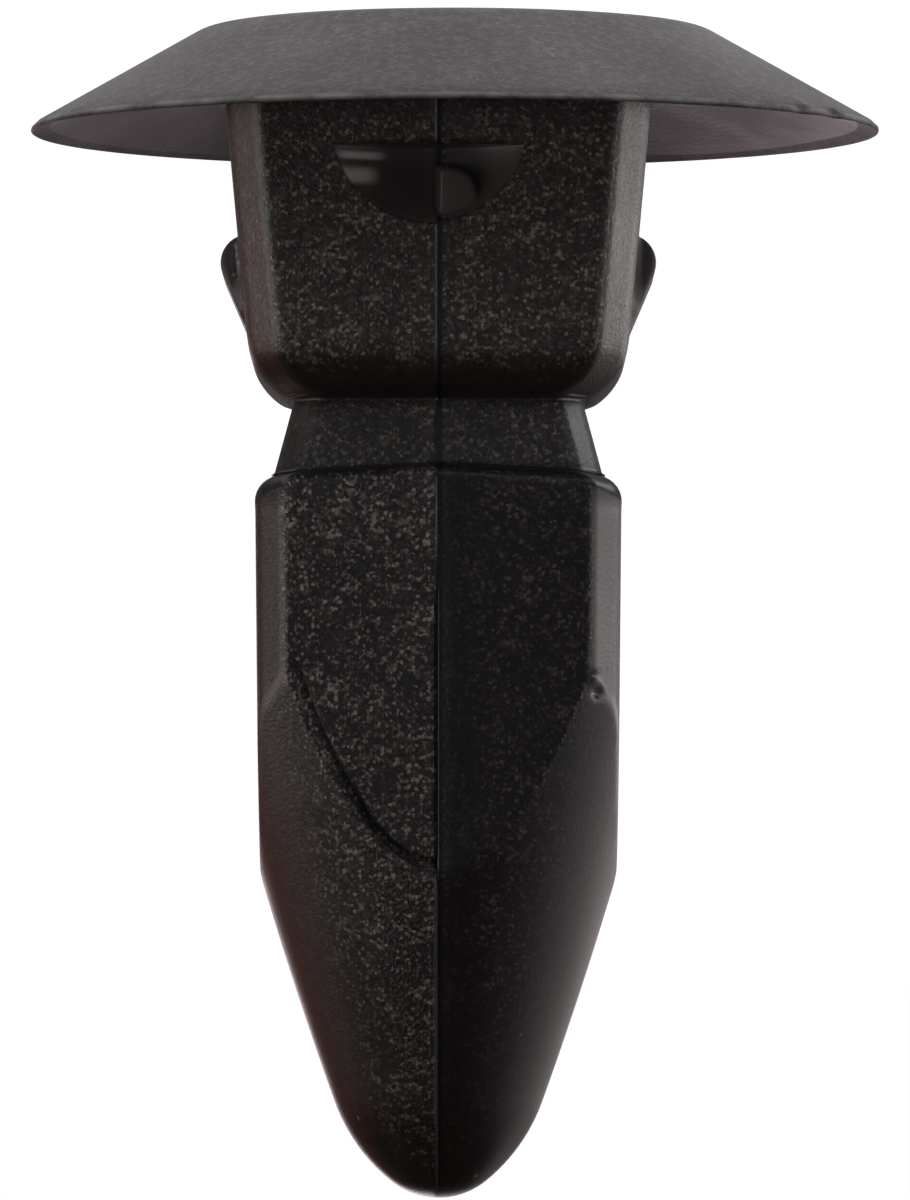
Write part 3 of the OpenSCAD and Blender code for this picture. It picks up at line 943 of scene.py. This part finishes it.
def floor():
    """Plain pale floor, which glows near the nut so that its shadows stay soft and light."""
    mesh = bpy.data.meshes.new("floor")
    sides = ((-1, -1), (1, -1), (1, 1), (-1, 1))
    mesh.from_pydata([(x * STAGE_HALF, y * STAGE_HALF, STAGE_H) for x, y in sides], [], [(0, 1, 2, 3)])
    plane = bpy.data.objects.new("floor", mesh)
    bpy.context.scene.collection.objects.link(plane)
    material, tree, shader = new_finish("floor_white", 0.1)
    shader.inputs["Roughness"].default_value = 0.9
    shader.inputs["Base Color"].default_value = (0.22, 0.22, 0.22, 1)
    shader.inputs["Emission Color"].default_value = (1, 1, 1, 1)
    place = tree.nodes.new("ShaderNodeTexCoord").outputs["Object"]
    away = tree.nodes.new("ShaderNodeVectorMath")
    away.operation = "LENGTH"
    tree.links.new(place, away.inputs[0])
    patch = tree.nodes.new("ShaderNodeVectorMath")
    patch.operation = "DISTANCE"
    tree.links.new(place, patch.inputs[0])
    patch.inputs[1].default_value = PATCH_AT
    near_glow = over(tree, away.outputs["Value"], NEAR_GLOW, 1.03, 0.05)
    glow = math_node(tree, "ADD", near_glow, over(tree, patch.outputs["Value"], PATCH_GLOW, 2.2, 0.0))
    seen = tree.nodes.new("ShaderNodeLightPath").outputs["Is Camera Ray"]
    glow = math_node(tree, "MAXIMUM", glow, product(tree, seen, STAGE_SEEN))
    tree.links.new(glow, shader.inputs["Emission Strength"])
    mesh.materials.append(material)


# Tones round the studio, by the angle in degrees from the camera's side towards +X
WALL_STRENGTH = 8.0
WALLS = (
    (-180, (0.115, 0.096, 0.102)),
    (-165, (0.09, 0.076, 0.081)),
    (-146, (0.26, 0.24, 0.24)),
    (-122, (0.92, 0.875, 0.865)),
    (-74, (0.62, 0.59, 0.58)),
    (-44, (0.034, 0.033, 0.033)),
    (0, (0.032, 0.031, 0.031)),
    (38, (0.027, 0.026, 0.026)),
    (58, (0.42, 0.41, 0.40)),
    (98, (0.42, 0.39, 0.38)),
    (116, (0.13, 0.088, 0.082)),
    (134, (0.034, 0.014, 0.011)),
    (156, (0.036, 0.018, 0.015)),
    (170, (0.37, 0.315, 0.33)),
    (180, (0.25, 0.21, 0.222)),
)
WALL_TOPS = (
    (-180, (0.012, 0.010, 0.011)),
    (-165, (0.016, 0.014, 0.014)),
    (-140, (0.056, 0.051, 0.050)),
    (-106, (0.056, 0.052, 0.051)),
    (-72, (0.014, 0.013, 0.013)),
    (-36, (0.004, 0.0035, 0.003)),
    (0, (0.003, 0.0026, 0.0022)),
    (45, (0.005, 0.0045, 0.004)),
    (80, (0.012, 0.005, 0.004)),
    (110, (0.016, 0.0055, 0.004)),
    (150, (0.014, 0.005, 0.004)),
    (180, (0.012, 0.010, 0.011)),
)
CEILING = (0.004, 0.0035, 0.003)

# Upper edge of the walls, as heights on a ball round the nut: it rises from -X to +X, and more behind the nut
WALL_EDGE_X = (-0.6, 0.6)
WALL_EDGE_H = (-0.06, 0.04)
WALL_EDGE_SOFT = 0.3
BEHIND = (math.radians(163), math.radians(173))
BEHIND_RISE = 0.4
CEILING_H = (0.45, 0.75)


def round_tones(tree, round_share, tones):
    """Colour at a share of the way round the studio."""
    node = tree.nodes.new("ShaderNodeValToRGB")
    tree.links.new(round_share, node.inputs["Fac"])
    stops = node.color_ramp.elements
    while len(stops) < len(tones):
        stops.new(0.5)
    for stop, (angle, tone) in zip(stops, tones):
        stop.position = angle / 360 + 0.5
        stop.color = (*tone, 1)
    return node.outputs["Color"]


def surroundings():
    """Studio walls: pale behind, bright on one side, warm and dim on the other, dark on the camera's side."""
    world = bpy.data.worlds.new("studio")
    world.use_nodes = True
    tree = world.node_tree
    back = tree.nodes["Background"]
    direction = tree.nodes.new("ShaderNodeTexCoord").outputs["Generated"]
    split = tree.nodes.new("ShaderNodeSeparateXYZ")
    tree.links.new(direction, split.inputs[0])
    ahead = math_node(tree, "MULTIPLY", split.outputs["Y"], -1.0)
    turn = math_node(tree, "ARCTAN2", split.outputs["X"], ahead)
    round_share = math_node(tree, "ADD", math_node(tree, "DIVIDE", turn, 2 * math.pi), 0.5)
    behind = math_node(tree, "ABSOLUTE", turn, 0.0)
    behind = ramp(tree, behind, *BEHIND, 0.0, BEHIND_RISE)
    edge = math_node(tree, "ADD", ramp(tree, split.outputs["X"], *WALL_EDGE_X, *WALL_EDGE_H), behind)
    above = ramp(tree, math_node(tree, "SUBTRACT", split.outputs["Z"], edge), 0.0, WALL_EDGE_SOFT)
    overhead = ramp(tree, split.outputs["Z"], *CEILING_H)
    tops = mixed(tree, overhead, round_tones(tree, round_share, WALL_TOPS), CEILING)
    colour = mixed(tree, above, round_tones(tree, round_share, WALLS), tops)
    seen = tree.nodes.new("ShaderNodeLightPath").outputs["Is Camera Ray"]
    colour = mixed(tree, seen, colour, (1 / WALL_STRENGTH,) * 3)
    tree.links.new(colour, back.inputs["Color"])
    back.inputs["Strength"].default_value = WALL_STRENGTH
    bpy.context.scene.world = world


# Camera, upside down as the nut is shown with its head at the top
CAMERA_DISTANCE = 250 * MM
CAMERA_HEIGHT = 22.3 * MM
AIM = Vector((0, 0, 12.12 * MM))
VIEW_HEIGHT = 25.41 * MM
SENSOR_HEIGHT = 24.0


def camera():
    place = Vector((0, -CAMERA_DISTANCE, CAMERA_HEIGHT))
    look = (AIM - place).normalized()
    right = look.cross(Vector((0, 0, -1))).normalized()
    up = right.cross(look)
    data = bpy.data.cameras.new("camera")
    data.sensor_fit = "VERTICAL"
    data.sensor_height = SENSOR_HEIGHT
    data.lens = SENSOR_HEIGHT * (AIM - place).length / VIEW_HEIGHT
    data.clip_start = 1 * MM
    view = bpy.data.objects.new("camera", data)
    view.matrix_world = Matrix.Translation(place) @ Matrix((right, up, -look)).transposed().to_4x4()
    bpy.context.scene.collection.objects.link(view)
    bpy.context.scene.camera = view


nut = moulded_nut()
for finish in (grained_nylon(), smooth_nylon(), umbrella_nylon(), underside_nylon()):
    nut.data.materials.append(finish)
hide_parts("clip_nut")
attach(nut, "root")

floor()
surroundings()
camera()
bpy.context.scene.view_settings.view_transform = "Standard"
